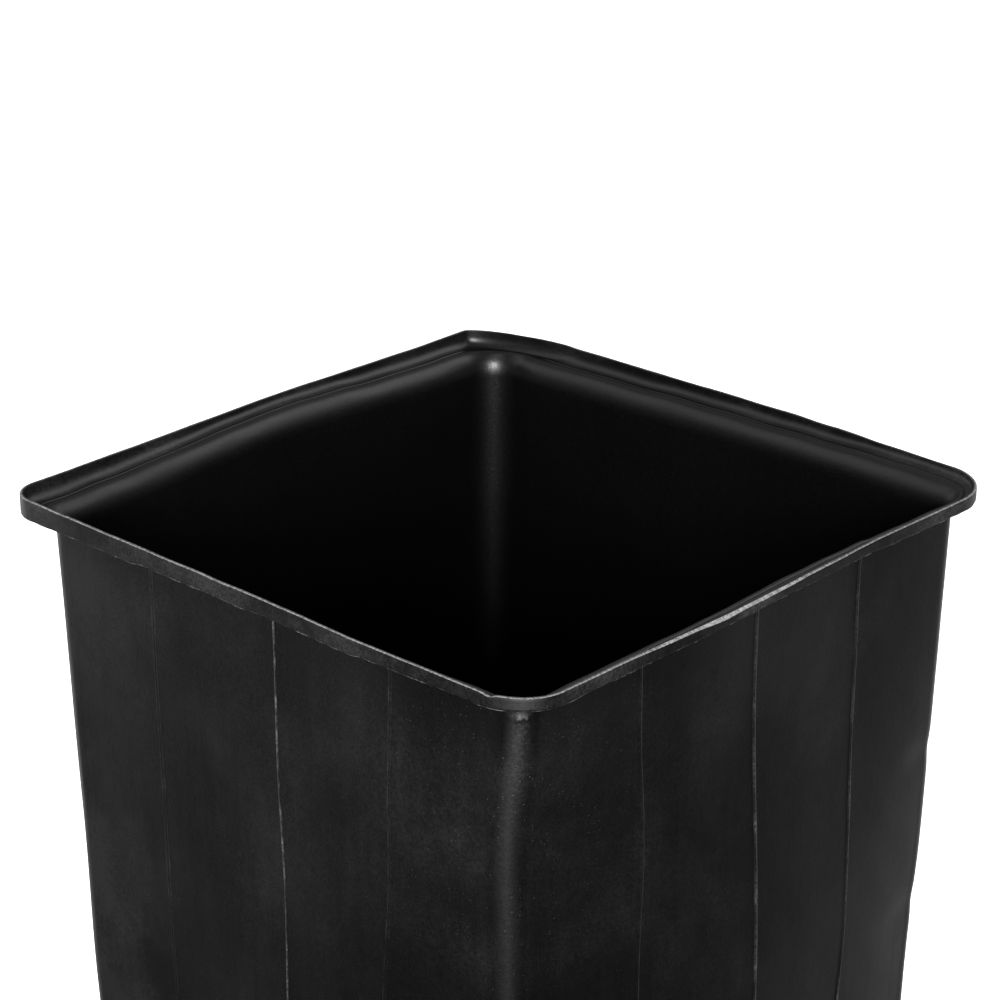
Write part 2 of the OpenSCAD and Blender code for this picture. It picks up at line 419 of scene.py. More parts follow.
def bucket_section():
    """The whole section, from the middle of the base out and up to the lip."""
    section = Section()
    # base panel
    steps = 16
    edge = STEP_EDGE_R
    section.run(
        "base_panel",
        line((MIDDLE_HALF, PANEL_LOW.z), (PANEL_HALF - edge, PANEL_LOW.z), steps),
        line((MIDDLE_HALF, PANEL_HIGH.z), (PANEL_HALF, PANEL_HIGH.z), steps),
        np.linspace(0.8 * MIDDLE_HALF, STEP_CENTRE, steps + 1),
    )
    # step down to the standing ring, and the ring
    section.run(
        "foot_ring",
        arc((PANEL_HALF - edge, PANEL_LOW.z - edge), edge, 90, 0, 4),
        arc((PANEL_HALF, PANEL_HIGH.z - WALL_T), WALL_T, 90, 0, 4),
        STEP_CENTRE,
    )
    inner = STEP_INSIDE_R
    section.run(
        "foot_ring",
        line((PANEL_HALF, PANEL_LOW.z - edge), (PANEL_HALF, edge), 3),
        line((STEP_HALF, PANEL_HIGH.z - WALL_T), (STEP_HALF, WALL_T + inner), 3),
        STEP_CENTRE,
    )
    section.run(
        "foot_ring",
        arc((PANEL_HALF + edge, edge), edge, 180, 270, 4),
        arc((STEP_HALF + inner, WALL_T + inner), inner, 180, 270, 4),
        STEP_CENTRE,
    )
    section.run(
        "foot_ring",
        line((PANEL_HALF + edge, 0), (FOOT_HALF, 0), 6),
        line((STEP_HALF + inner, WALL_T), (FOOT_HALF, WALL_T), 6),
        np.linspace(STEP_CENTRE, HEEL_CENTRE, 7),
        rub_and_highlight=np.linspace(0.15, 0.5, 7),
    )
    # heel
    section.run(
        "heel_ring",
        arc((FOOT_HALF, HEEL_Z), HEEL_Z, -90, 0, 8),
        arc((FOOT_HALF, HEEL_Z), HEEL_Z - WALL_T, -90, 0, 8),
        HEEL_CENTRE,
        rub_and_highlight=np.linspace(0.5, 0.1, 9),
    )
    # walls and corners
    levels = np.linspace(HEEL_Z, BEND_START, 118)
    outs = half_at(levels)
    section.run(
        "body",
        np.column_stack([outs, levels]),
        np.column_stack([outs - WALL_T, levels]),
        outs - CORNER_R,
    )
    # the bend: soft inside, tighter outside; it starts on the walls and ends on the ledge
    bend_end = outs[-1] - WALL_T + BEND_WIDE
    inside = ellipse((bend_end, BEND_START), (BEND_WIDE, BEND_TALL), 180, 90, 20)
    wall_top = line((outs[-1], BEND_START), (BODY_HALF, SHOULDER_Z), 10)
    tight_r = SHOULDER_R - WALL_T
    tight = arc((BODY_HALF + tight_r, SHOULDER_Z), tight_r, 180, 90, 10)
    section.run("body", wall_top, inside[:11], half_at(wall_top[:, 1]) - CORNER_R)
    section.run("rim_ledge", tight, inside[10:], RIM_CENTRE)
    # ledge, with its fine groove on top
    ledge_end = LEDGE_END - SOFT_LIP
    rest = np.linspace(GROOVE_ACROSS[-1], ledge_end - bend_end, 4)[1:]
    across = bend_end + np.concatenate([GROOVE_ACROSS, rest])
    sunk = np.concatenate([GROOVE_DEPTH, rest * 0])
    clearance = 0.01 * MM
    section.groove = (bend_end - clearance, bend_end + GROOVE_ACROSS[-1] + clearance)
    under = np.linspace(BODY_HALF + tight_r, across[-1], len(across))
    section.run(
        "rim_ledge",
        np.column_stack([under, under * 0 + LEDGE_UNDER]),
        np.column_stack([across, LEDGE_TOP - sunk]),
        RIM_CENTRE,
    )
    # bend and lip
    inside_r = LIP_BEND_R + SOFT_LIP
    edge_start = LIP_HALF - LIP_EDGE_R
    middle = (ledge_end, LEDGE_TOP + inside_r)
    rise = 1 + np.sin(np.radians(np.linspace(-90, 0, 11)))
    lip_tall = LIP_TOP - LEDGE_UNDER
    on_burr = np.arange(11) == BURR_ROW
    section.run(
        "rim_lip",
        np.concatenate(
            [
                line((ledge_end, LEDGE_UNDER), (edge_start, LEDGE_UNDER), 3),
                arc((edge_start, LEDGE_UNDER + LIP_EDGE_R), LIP_EDGE_R, -75, 0, 5),
                [(LIP_HALF, LEDGE_UNDER + BURR_RISE)],
            ]
        ),
        arc(middle, inside_r, -90, 0, 10),
        RIM_CENTRE,
        lip_share=rise * inside_r / lip_tall,
        rub_and_highlight=0.6 * on_burr,
        flash=on_burr,
    )
    tip = LIP_TOP + CUT_EDGE[0, 1]
    upright = line((LIP_HALF - WALL_T, middle[1]), (LIP_HALF - WALL_T, tip), 4)
    section.run(
        "rim_lip",
        line((LIP_HALF, LEDGE_UNDER + BURR_RISE), (LIP_HALF, tip), 4),
        upright,
        RIM_CENTRE,
        lip_share=(upright[:, 1] - LEDGE_UNDER) / lip_tall,
    )
    # softened edges of the cut
    section.run(
        "rim_lip",
        CUT_EDGE + (LIP_HALF, LIP_TOP),
        CUT_EDGE * (-1, 1) + (LIP_HALF - WALL_T, LIP_TOP),
        RIM_CENTRE,
        lip_share=(0.95, 0.98, 1, 1),
        rub_and_highlight=(0, 0.15, 0.9, 1),
    )
    return section


# ---------------------------------------------------------------- the skin and its regions

ALONG_STEPS = 100
TURN_STEPS = 16
PER_SIDE = ALONG_STEPS + TURN_STEPS
STATIONS = 4 * PER_SIDE


def stations():
    """Every place round the bucket, going from the front left corner towards the right."""
    side = []
    along = []
    turn = []
    round_part = []
    for number in range(4):
        side += [number] * PER_SIDE
        along += list(np.linspace(-1, 1, ALONG_STEPS, endpoint=False)) + [1] * TURN_STEPS
        turn += [0] * ALONG_STEPS + list(np.linspace(0, SIDE_TURN, TURN_STEPS, endpoint=False))
        round_part += [0] * ALONG_STEPS + [1] * TURN_STEPS
    return Place(side, along, turn, round_part)


class Skin:
    """The settled moulding as one closed skin, with its faces named by region."""

    def __init__(self, shape):
        section = bucket_section()
        rows = len(section.region)
        place = stations()
        outside = np.array(section.outside)
        inside = np.array(section.inside)
        centre = np.array(section.centre)[:, None]
        lip_share = np.array(section.lip_share)[:, None]
        flare = (outside[:, 0] - BODY_HALF) / (LIP_HALF - BODY_HALF)
        level = np.where(outside[:, 1] > SHOULDER_Z, np.clip(flare, 0, 1), 0)[:, None]
        both = []
        for path in (outside, inside):
            out = np.repeat(path[:, :1], STATIONS, axis=1)
            up = np.repeat(path[:, 1:], STATIONS, axis=1)
            both.append(settle(place, centre, out, up, level, shape, lip_share))
        outer, inner = both
        self.finish_lip(place, section, outer, inner, shape)
        torn = self.tear_corner(place, outer)
        self.wander_groove(place, inner, section)
        self.rows = rows
        self.half = rows * STATIONS
        self.points = np.concatenate([outer.reshape(-1, 3), inner.reshape(-1, 3)])
        self.wear(place, section, outside, inside, outer, torn)
        self.faces, self.names = self.join(section)
        self.normals = self.corner_normals()

    def wear(self, place, section, outside, inside, outer, torn):
        """How rubbed, hazy and dusty each point is, with painted highlight and painted shade."""
        lip_share = np.array(section.lip_share)[:, None]
        flash = np.array(section.flash)[:, None]
        none = np.zeros(outer.shape[:2])
        painted_band = place.front_corner(*PAINTED_BAND_TURN)
        # rub_and_highlight: wear on the cut and the burr, and a painted highlight on the front
        # corner under the rim
        ragged = field(RAGGED_WAVES, outer[..., 0], outer[..., 1], 0)
        rub_and_highlight = none + np.array(section.rub_and_highlight)[:, None]
        rub_and_highlight = rub_and_highlight * np.where(flash > 0, np.clip(0.55 + 0.3 * ragged, 0, 1), 1)
        rub_and_highlight = np.maximum(rub_and_highlight, torn)
        # painted highlight: the front corner made paler under the rim
        near_rim = smooth_step(PAINTED_HIGHLIGHT_FROM, SHOULDER_Z, outer[..., 2]) * (lip_share == 0)
        rub_and_highlight = np.maximum(rub_and_highlight, 0.15 * painted_band * near_rim)
        slanted = bump(outer[-1][:, 1], SLANT_MIDDLE * MM, SLANT_REACH * MM)
        slanted = slanted * place.on("right")
        inner_rub = np.where(lip_share > 0.9, (0.25 + 0.75 * slanted) * rub_and_highlight, 0)
        self.rub_and_highlight = np.concatenate([rub_and_highlight.ravel(), inner_rub.ravel()])
        # haze_and_painted_light: hazy outside; less haze under the rim, a painted shadow of the lip
        haze_and_painted_light = 1 - 0.65 * bump(outside[:, 1:], SHOULDER_Z - 2 * MM, 14 * MM)
        # painted sheen: more haze towards the front wall's left end
        left_end_sheen = smooth_step(-35 * MM, -105 * MM, outer[..., 0]) * (outer[..., 1] < 0)
        haze_and_painted_light = np.where(lip_share > 0.2, 1, haze_and_painted_light * (1 + 1.4 * left_end_sheen))
        # painted shade: less haze low on the front corner
        low_corner_shade = painted_band * smooth_step(*PAINTED_SHADE_BELOW, outer[..., 2])
        haze_and_painted_light = haze_and_painted_light * (1 - 0.9 * low_corner_shade)
        # painted shade: no haze inside below the bend to the ledge, rising to half on the ledge and
        # lip
        painted_inside_shade = none + 0.5 * smooth_step(BEND_START, LEDGE_TOP, inside[:, 1:])
        self.haze_and_painted_light = np.concatenate([haze_and_painted_light.ravel(), painted_inside_shade.ravel()])
        # dusty: round the top of the front corner
        near_corner = bump(outer[..., 0] - outer[..., 1], 2 * BODY_HALF, 48 * MM)
        near_corner = near_corner * bump(outer[..., 2], LEDGE_UNDER - 40 * MM, 60 * MM)
        self.dusty = np.concatenate([(0.2 + near_corner).ravel(), (none + 0.12).ravel()])

    def finish_lip(self, place, section, outer, inner, shape):
        """Slopes the cut through the lip and raises the ragged burr under it."""
        lip_share = np.array(section.lip_share)[:, None]
        cut = outer[-1]
        angle = place.side * SIDE_TURN
        across = cut[:, 0] * np.cos(angle) + cut[:, 1] * np.sin(angle)
        depth = trim_depth(place, across, shape.trim_slant)
        depth = depth * (1 + 0.25 * field(SLOW_RAGGED_WAVES, cut[:, 0], cut[:, 1], 0))
        outer[..., 2] -= depth * lip_share**2
        dip = np.clip(-field(SLOW_RAGGED_WAVES, cut[:, 1], cut[:, 0], 0.01), 0, 2)
        notch = 0.9 * place.front_corner(*NOTCH_TURN)
        fall = (0.1 * dip + notch) * MM * lip_share**2
        outer[..., 2] -= fall
        inner[..., 2] -= fall
        ragged = field(RAGGED_WAVES, cut[:, 0], cut[:, 1], 0)
        stand = np.clip(0.75 + 0.2 * ragged, 0.2, 1.3) * shape.burr
        for row in np.flatnonzero(section.flash):
            tangent = np.roll(outer[row], -1, axis=0) - np.roll(outer[row], 1, axis=0)
            away = np.stack([tangent[:, 1], -tangent[:, 0], tangent[:, 0] * 0], axis=-1)
            away /= np.linalg.norm(away, axis=1)[:, None]
            away[:, 2] = -1
            outer[row] += away * (stand * math.sqrt(0.5))[:, None]

    def tear_corner(self, place, outer):
        """Raises a torn scrap of flash on the front corner, just under the lip."""
        stand = 0.45 * MM
        on_corner = place.front_corner(*TORN_TURN)
        level = bump(outer[..., 2], LEDGE_UNDER - 5.6 * MM, 0.9 * MM)
        points = outer / MM
        ragged = np.sin(4.1 * points[..., 0] + 1.3) * np.sin(3.3 * points[..., 1]) + 0.3
        torn = np.clip(ragged, 0, 1) * on_corner * level
        outer[..., 0] += torn * stand
        outer[..., 1] -= torn * stand
        return torn * 0.4

    def wander_groove(self, place, inner, section):
        """Lets the fine groove wander a little, and loses it in the widest corner."""
        start, end = section.groove
        far_corner = place.round_part * (place.side == CORNERS.index("back_left"))
        for row, (across, height) in enumerate(section.inside):
            if section.region[row] == "rim_ledge" and start < across < end:
                ring = inner[row]
                drift = field(SLOW_RAGGED_WAVES, ring[:, 0], ring[:, 1], 0.05) * 0.06 * MM
                size = np.linalg.norm(ring[:, :2], axis=1)
                ring[:, :2] *= (1 + drift / size)[:, None]
                ring[:, 2] += (LEDGE_TOP - height) * far_corner

    def join(self, section):
        """Quads between neighbouring rows and places, outside, inside and over the lip's cut."""
        faces = []
        names = []
        step = np.arange(STATIONS)
        after = (step + 1) % STATIONS
        zone = [SIDES[i // PER_SIDE] + "_wall" for i in step]
        for i in step:
            if i % PER_SIDE >= ALONG_STEPS:
                zone[i] = CORNERS[i // PER_SIDE] + "_corner"
        for row in range(self.rows - 1):
            low = row * STATIONS
            high = low + STATIONS
            quad = np.column_stack([low + step, low + after, high + after, high + step])
            region = section.region[row + 1]
            name = zone if region == "body" else [region] * STATIONS
            faces += [quad, quad[:, ::-1] + self.half]
            names += name + name
        last = (self.rows - 1) * STATIONS
        cut = [last + step, last + after, last + after + self.half, last + step + self.half]
        faces.append(np.column_stack(cut))
        names += ["rim_lip"] * STATIONS
        # strips that close the middle of the base, from either side of one corner to the other
        near = np.arange(STATIONS // 2 - 1)
        far = STATIONS - 1 - near
        strips = np.column_stack([near + 1, near, far, far - 1])
        faces += [strips, strips[:, ::-1] + self.half]
        names += ["base_panel"] * (2 * len(strips))
        return np.concatenate(faces), np.array(names)

    def corner_normals(self):
        """Smooth normals for every face corner, worked out on the whole skin."""
        mesh = mesh_of("whole_skin", self.points, self.faces)
        mesh.set_sharp_from_angle(angle=math.radians(42))
        flat = np.zeros(len(mesh.loops) * 3, np.float32)
        mesh.corner_normals.foreach_get("vector", flat)
        bpy.data.meshes.remove(mesh)
        return flat.reshape(-1, 4, 3)

    def region(self, name):
        """One region as points, quads, corner normals and wear, closed along its joints."""
        chosen = np.flatnonzero(self.names == name)
        quads = self.faces[chosen]
        normals = self.normals[chosen]
        starts = quads
        ends = np.roll(quads, -1, axis=1)
        total = len(self.points)
        ahead = (starts * total + ends).ravel()
        back = (ends * total + starts).ravel()
        bare = ~np.isin(ahead, back)
        start = starts.ravel()[bare]
        end = ends.ravel()[bare]
        outside = (start < self.half) & (end < self.half)
        start = start[outside]
        end = end[outside]
        joint = np.column_stack([end, start, start + self.half, end + self.half])
        edge = self.points[joint]
        flat = np.cross(edge[:, 1] - edge[:, 0], edge[:, 3] - edge[:, 0])
        flat /= np.maximum(np.linalg.norm(flat, axis=1), 1e-12)[:, None]
        quads = np.concatenate([quads, joint])
        normals = np.concatenate([normals, np.repeat(flat[:, None, :], 4, axis=1)])
        used, index = np.unique(quads, return_inverse=True)
        wear = {
            "rub_and_highlight": self.rub_and_highlight[used],
            "haze_and_painted_light": self.haze_and_painted_light[used],
            "dusty": self.dusty[used],
        }
        return self.points[used], index.reshape(quads.shape), normals, wear


def mesh_of(name, points, quads):
    """A smooth-shaded mesh from points and quads."""
    mesh = bpy.data.meshes.new(name)
    mesh.vertices.add(len(points))
    mesh.vertices.foreach_set("co", np.asarray(points, np.float32).ravel())
    mesh.loops.add(quads.size)
    mesh.loops.foreach_set("vertex_index", quads.ravel().astype(np.int32))
    mesh.polygons.add(len(quads))
    mesh.polygons.foreach_set("loop_start", np.arange(0, quads.size, 4, dtype=np.int32))
    mesh.update(calc_edges=True)
    mesh.polygons.foreach_set("use_smooth", np.ones(len(quads), bool))
    return mesh


@functools.lru_cache(maxsize=1)
def skin_for(*sizes):
    """The skin for one set of sizes, kept while the sizes stay the same."""
    return Skin(Shape(*sizes))


class Shape:
    """The settings that the skin depends on, as plain numbers."""

    def __init__(self, shrinkage, swell, trim_slant, burr):
        self.shrinkage = shrinkage
        self.swell = swell
        self.trim_slant = trim_slant
        self.burr = burr


def shape_sizes(context):
    """The skin's settings, read from the scene."""
    settings = context.scene.bucket_shape
    return settings.shrinkage, settings.swell, settings.trim_slant, settings.burr


# ---------------------------------------------------------------- beads: ribs and mould lines


class Rib:
    """One mould rib: its place, how it drifts, and how its crest looks."""

    def __init__(
        self,
        across,
        drift=0.0,
        kink=0.0,
        kink_place=275.0,
        height=1.0,
        width=1.0,
        split=0.0,
        broken=0.0,
        rub_and_highlight=0.5,
    ):
        self.rub_and_highlight = rub_and_highlight
        self.across = across * MM
        self.drift = drift * MM
        self.kink = kink * MM
        self.kink_place = kink_place * MM
        self.height = height
        self.width = width
        self.split = split
        self.broken = broken


PITCH = (RIBS_HIGH.x - 0.5 * MM) / MM
WALL_RIBS = {
    "front": (
        Rib(-PITCH - 0.1, drift=0.6, height=0.1, width=2.2, split=0.8, rub_and_highlight=0.12),
        Rib(2.7, drift=2.4, kink=0.9, height=0.8, width=0.7, broken=0.5, rub_and_highlight=0.34),
        Rib(
            PITCH - 0.5,
            drift=-3.8,
            kink=2.2,
            kink_place=290.0,
            height=0.28,
            width=1.9,
            split=0.5,
            broken=0.6,
            rub_and_highlight=0.1,
        ),
    ),
    "right": (
        Rib(
            -PITCH - 1.5,
            drift=4.7,
            kink=4.0,
            kink_place=305.0,
            height=0.45,
            width=1.5,
            split=0.3,
            broken=0.2,
            rub_and_highlight=0.1,
        ),
        Rib(-1.6, drift=5.7, height=1.2, width=1.7, rub_and_highlight=0.22),
        Rib(PITCH - 2, kink=-1.0, height=1.2, width=1.5, rub_and_highlight=0.2),
    ),
    "back": (
        Rib(-PITCH + 1, drift=1.5, height=0.8),
        Rib(1, drift=-1, height=0.7, width=1.4, split=0.6),
        Rib(PITCH, drift=1, height=0.9),
    ),
    "left": (
        Rib(-PITCH, drift=1, height=0.7, width=1.5, split=0.5, broken=0.3),
        Rib(0.5, drift=-2, height=0.9),
        Rib(PITCH - 1, drift=-1.5, height=0.8, width=1.1),
    ),
}


def bead_mesh(name, tops, feet, rub_and_highlight):
    """A closed bead from rows of points along its top and the two edges under each row."""
    rows, columns = tops.shape[:2]
    points = np.concatenate([tops.reshape(-1, 3), feet.reshape(-1, 3)])
    shades = np.concatenate([rub_and_highlight.ravel(), np.zeros(rows * 2)])
    base = rows * columns
    quads = []
    for row in range(rows - 1):
        low = row * columns
        high = low + columns
        for column in range(columns - 1):
            quads.append((low + column, low + column + 1, high + column + 1, high + column))
        foot = base + 2 * row
        quads.append((foot + 1, foot, foot + 2, foot + 3))
        quads.append((foot, low, high, foot + 2))
        quads.append((low + columns - 1, foot + 1, foot + 3, high + columns - 1))
    mesh = bpy.data.meshes.new(name)
    ends = []
    for row in (0, rows - 1):
        loop = [row * columns + column for column in range(columns)]
        loop = [base + 2 * row] + loop + [base + 2 * row + 1]
        ends.append(loop[::-1] if row == 0 else loop)
    mesh.from_pydata(points.tolist(), [], quads + ends)
    mesh.polygons.foreach_set("use_smooth", np.ones(len(mesh.polygons), bool))
    mesh.set_sharp_from_angle(angle=math.radians(55))
    plain = np.ones(len(shades))
    keep_wear(mesh, {"rub_and_highlight": shades, "haze_and_painted_light": plain, "dusty": 0.3 * plain})
    return mesh


def keep_wear(mesh, wear):
    """Stores how rubbed, hazy and dusty each point is, with painted highlight and painted shade."""
    for name, shades in wear.items():
        layer = mesh.attributes.new(name, "FLOAT", "POINT")
        layer.data.foreach_set("value", np.asarray(shades, np.float32))


def rib_mesh(side, rib, number, shape, height, width):
    """The mesh of one rib, lying on the settled wall."""
    levels = np.arange(HEEL_Z + 0.2 * MM, SHOULDER_Z, 1.5 * MM)
    levels = np.append(levels, SHOULDER_Z)
    depth = smooth_step(SHOULDER_Z, SHOULDER_Z - 150 * MM, levels)
    kink = bump(levels, rib.kink_place, 40 * MM)
    centre_line = rib.across + rib.drift * depth + rib.kink * kink
    seed = 40 + 10 * SIDES.index(side) + number
    wander = field(waves(seed, 6, 40 * MM, 140 * MM), 0, 0, levels) * 0.25 * MM
    centre_line = centre_line + wander
    lively = field(waves(seed + 5, 12, 5 * MM, 26 * MM), 0, 0, levels)
    breaks = np.clip(0.5 + 0.9 * field(waves(seed + 6, 12, 3 * MM, 12 * MM), 0, 0, levels), 0, 1)
    tall = height * rib.height * (1 + 0.07 * lively)
    tall = tall * (1 - rib.broken * (1 - breaks))
    fade = smooth_step(HEEL_Z, HEEL_Z + 12 * MM, levels)
    tall = tall * fade
    wide = 0.5 * width * rib.width * (1 + 0.05 * lively) + 0.3 * MM
    columns = np.linspace(-1, 1, 13)
    single = (1 - columns**2) ** 2
    double = np.maximum(0, 1 - ((np.abs(columns) - 0.5) / 0.5) ** 2) ** 2
    outline = single * (1 - rib.split) + double * rib.split
    across = centre_line[:, None] + wide[:, None] * columns[None, :]
    lift = tall[:, None] * outline[None, :] - 0.015 * MM
    grid_z = np.repeat(levels[:, None], len(columns), axis=1)
    out = half_at(grid_z)
    centre = out - CORNER_R
    index = SIDES.index(side)
    reach_right = centre - corner_extra(index, grid_z)
    reach_left = centre - corner_extra(index - 1, grid_z)
    nominal = across / (1 - shape.shrinkage / 100)
    place = Place(
        np.full(across.shape, index),
        (2 * nominal - reach_right + reach_left) / (reach_right + reach_left),
        np.zeros(across.shape),
        np.zeros(across.shape, int),
    )
    tops = settle(place, centre, out + lift, grid_z, 0, shape)
    under = settle(place, centre, out - 0.25 * MM, grid_z, 0, shape)
    feet = under[:, [0, -1]]
    rub_and_highlight = outline[None, :] * (tall / (height * rib.height))[:, None] * rib.rub_and_highlight
    rub_and_highlight = rub_and_highlight * (1 + 0.15 * lively[:, None])
    return bead_mesh("rib", tops, feet, np.clip(rub_and_highlight, 0, 1))


def joined_mesh(name, parts):
    """Several meshes as one, with their wear."""
    joined = bmesh.new()
    for part in parts:
        joined.from_mesh(part)
        bpy.data.meshes.remove(part)
    mesh = bpy.data.meshes.new(name)
    joined.to_mesh(mesh)
    joined.free()
    return mesh


# ---------------------------------------------------------------- materials


class Wire:
    """A value in a material, which can be combined with others by plain arithmetic."""

    def __init__(self, paint, socket):
        self.paint = paint
        self.socket = socket

    def combine(self, operation, *values):
        """Adds a Math node."""
        return self.paint.node("ShaderNodeMath", {"operation": operation}, dict(enumerate(values)))

    def __add__(self, other):
        return self.combine("ADD", self, other)

    def __radd__(self, other):
        return self.combine("ADD", other, self)

    def __sub__(self, other):
        return self.combine("SUBTRACT", self, other)

    def __rsub__(self, other):
        return self.combine("SUBTRACT", other, self)

    def __mul__(self, other):
        return self.combine("MULTIPLY", self, other)

    def __rmul__(self, other):
        return self.combine("MULTIPLY", other, self)

    def between(self, low, high):
        """Rises from 0 at low to 1 at high with soft ends."""
        settings = {"interpolation_type": "SMOOTHSTEP"}
        values = {"Value": self, "From Min": low, "From Max": high}
        return self.paint.node("ShaderNodeMapRange", settings, values)


class Paint:
    """The nodes of a material or of the room, under construction."""

    def __init__(self, owner):
        self.owner = owner
        owner.use_nodes = True
        self.tree = owner.node_tree
        self.tree.nodes.clear()

    def node(self, kind, settings=None, values=None, output=0):
        """Adds a node: its settings first, then the values or links of its sockets."""
        made = self.tree.nodes.new(kind)
        for name, value in (settings or {}).items():
            setattr(made, name, value)
        for name, value in (values or {}).items():
            socket = self.find(made.inputs, name)
            if isinstance(value, Wire):
                self.tree.links.new(value.socket, socket)
            else:
                socket.default_value = value
        return Wire(self, self.find(made.outputs, output)) if made.outputs else None

    def find(self, sockets, name):
        """A socket by number, identifier or name."""
        if isinstance(name, int):
            return sockets[name]
        for socket in sockets:
            if socket.identifier == name:
                return socket
        return sockets[name]

    def object_point(self, stretch=(1, 1, 1)):
        """The point on the object, with each axis stretched."""
        point = self.node("ShaderNodeTexCoord", output="Object")
        values = {0: point, 1: stretch}
        return self.node("ShaderNodeVectorMath", {"operation": "MULTIPLY"}, values)

    def noise(self, scale, detail=2.0, roughness=0.5, stretch=(1, 1, 1)):
        """A soft random value at features of 1 / scale metres."""
        values = {
            "Vector": self.object_point(stretch),
            "Scale": scale,
            "Detail": detail,
            "Roughness": roughness,
        }
        return self.node("ShaderNodeTexNoise", {"noise_dimensions": "3D"}, values)

    def specks(self, scale, size, share):
        """Small specks: one in a cell, in a share of the cells."""
        settings = {"feature": "F1", "voronoi_dimensions": "3D"}
        values = {"Vector": self.object_point(), "Scale": scale}
        near = self.node("ShaderNodeTexVoronoi", settings, values, output="Distance")
        tint = self.node("ShaderNodeTexVoronoi", settings, values, output="Color")
        pick = self.node("ShaderNodeSeparateColor", {}, {0: tint})
        return (1 - near.between(size * 0.4, size)) * pick.between(1 - share, 1 - share * 0.6)

    def attribute(self, name):
        """A value stored on the mesh."""
        return self.node("ShaderNodeAttribute", {"attribute_name": name}, output="Fac")

    def blend(self, share, colour_a, colour_b):
        """A colour between two others."""
        values = {"Factor_Float": share, "A_Color": colour_a, "B_Color": colour_b}
        return self.node("ShaderNodeMix", {"data_type": "RGBA"}, values, output="Result_Color")


def grey(value, warmth=0.0):
    """A near grey, slightly warm or cool."""
    return (value * (1 + warmth), value, value * (1 - warmth), 1)


def plastic(name, finish, haziness=1.0):
    """Black polyethylene: mottled, faintly streaked, dusty, and paler where it is rubbed or cut,
    with painted shade and sheen in its haze and a painted highlight in its paler grey.
    """
    paint = Paint(bpy.data.materials.new(name))
    dark = tuple(finish.plastic_colour) + (1,)
    clouds = paint.noise(16, detail=5, roughness=0.55)
    blotches = paint.noise(62, detail=4, roughness=0.6)
    streaks = paint.noise(30, detail=4, roughness=0.55, stretch=(9, 9, 0.35))
    fine_streaks = paint.noise(60, detail=3, roughness=0.6, stretch=(16, 16, 0.5))
    grain = paint.noise(900, detail=3, roughness=0.7)
    peel = paint.noise(210, detail=3, roughness=0.5)
    dust = paint.specks(700, 0.16, 0.35)
    big_dust = paint.specks(240, 0.06, 0.3)
    scratch_place = paint.noise(120, detail=2, roughness=0.5, stretch=(1, 1, 0.12))
    # wear, and a painted highlight on the front corner
    rub_and_highlight = paint.attribute("rub_and_highlight")
    # haze, with painted shade under the rim, low on the front corner and inside, and a painted
    # sheen
    haze_and_painted_light = paint.attribute("haze_and_painted_light")
    dusty = paint.attribute("dusty")

    mottle = clouds.between(0.38, 0.7) * (0.45 + 0.55 * blotches.between(0.3, 0.7))
    scuff = scratch_place.between(0.66, 0.72) * blotches.between(0.5, 0.62)
    pale = (0.7 * dust + big_dust) * 0.2 * dusty + scuff * 0.006 * haze_and_painted_light
    haze = mottle * 0.75 + fine_streaks.between(0.3, 0.75) * 0.05 + peel.between(0.4, 0.7) * 0.1
    # haze held back where shade is painted, raised where sheen is painted
    haze = haze * (0.45 + 1.1 * grain.between(0.35, 0.65)) * haze_and_painted_light
    colour = paint.blend(haze, dark, grey(finish.haze_grey * haziness, 0.01))
    colour = paint.blend(pale, colour, grey(0.2, 0.02))
    trimmed_and_highlight = paint.blend(
        grain.between(0.3, 0.7), grey(finish.trimmed_and_highlight_grey * 0.75), grey(finish.trimmed_and_highlight_grey * 1.2)
    )
    # paler grey where rubbed or cut, and a painted highlight on the front corner
    worn_and_highlight = rub_and_highlight * (0.72 + 0.5 * grain.between(0.35, 0.65))
    colour = paint.blend(worn_and_highlight.between(0.05, 1.15), colour, trimmed_and_highlight)

    uneven = (0.12 * mottle + 0.03 * streaks.between(0.4, 0.7)) * (0.25 + 0.75 * haze_and_painted_light)
    rough = finish.roughness - 0.14 + uneven + 0.16 * grain + 0.22 * pale + 0.16 * rub_and_highlight
    lines = (0.12 * streaks + 0.08 * fine_streaks) * (0.3 + 0.7 * haze_and_painted_light)
    height = 1.0 * grain + 0.9 * peel + lines + 0.5 * dust
    bumped = paint.node(
        "ShaderNodeBump",
        {},
        {"Strength": finish.bump_strength, "Distance": 0.12 * MM, "Height": height},
    )
    shader = paint.node(
        "ShaderNodeBsdfPrincipled",
        {},
        {
            "Base Color": colour,
            "Roughness": rough,
            "Normal": bumped,
            "Specular IOR Level": finish.sheen,
            "IOR": 1.5,
        },
    )
    paint.node("ShaderNodeOutputMaterial", {}, {"Surface": shader})
    return paint.owner


def studio_paper(name, colour, glow):
    """The pale floor, with a faint unevenness."""
    paint = Paint(bpy.data.materials.new(name))
    cloud = paint.noise(3, detail=3)
    tone = paint.blend(cloud, tuple(colour) + (1,), tuple(c * 0.985 for c in colour) + (1,))
    fibres = paint.noise(900, detail=2)
    bumped = paint.node(
        "ShaderNodeBump", {}, {"Strength": 0.1, "Distance": 0.2 * MM, "Height": fibres}
    )
    shader = paint.node(
        "ShaderNodeBsdfPrincipled",
        {},
        {
            "Base Color": tone,
            "Roughness": 0.85 + 0.05 * cloud,
            "Normal": bumped,
            "Specular IOR Level": 0.1,
            "Emission Color": tone,
            "Emission Strength": glow,
        },
    )
    paint.node("ShaderNodeOutputMaterial", {}, {"Surface": shader})
    return paint.owner


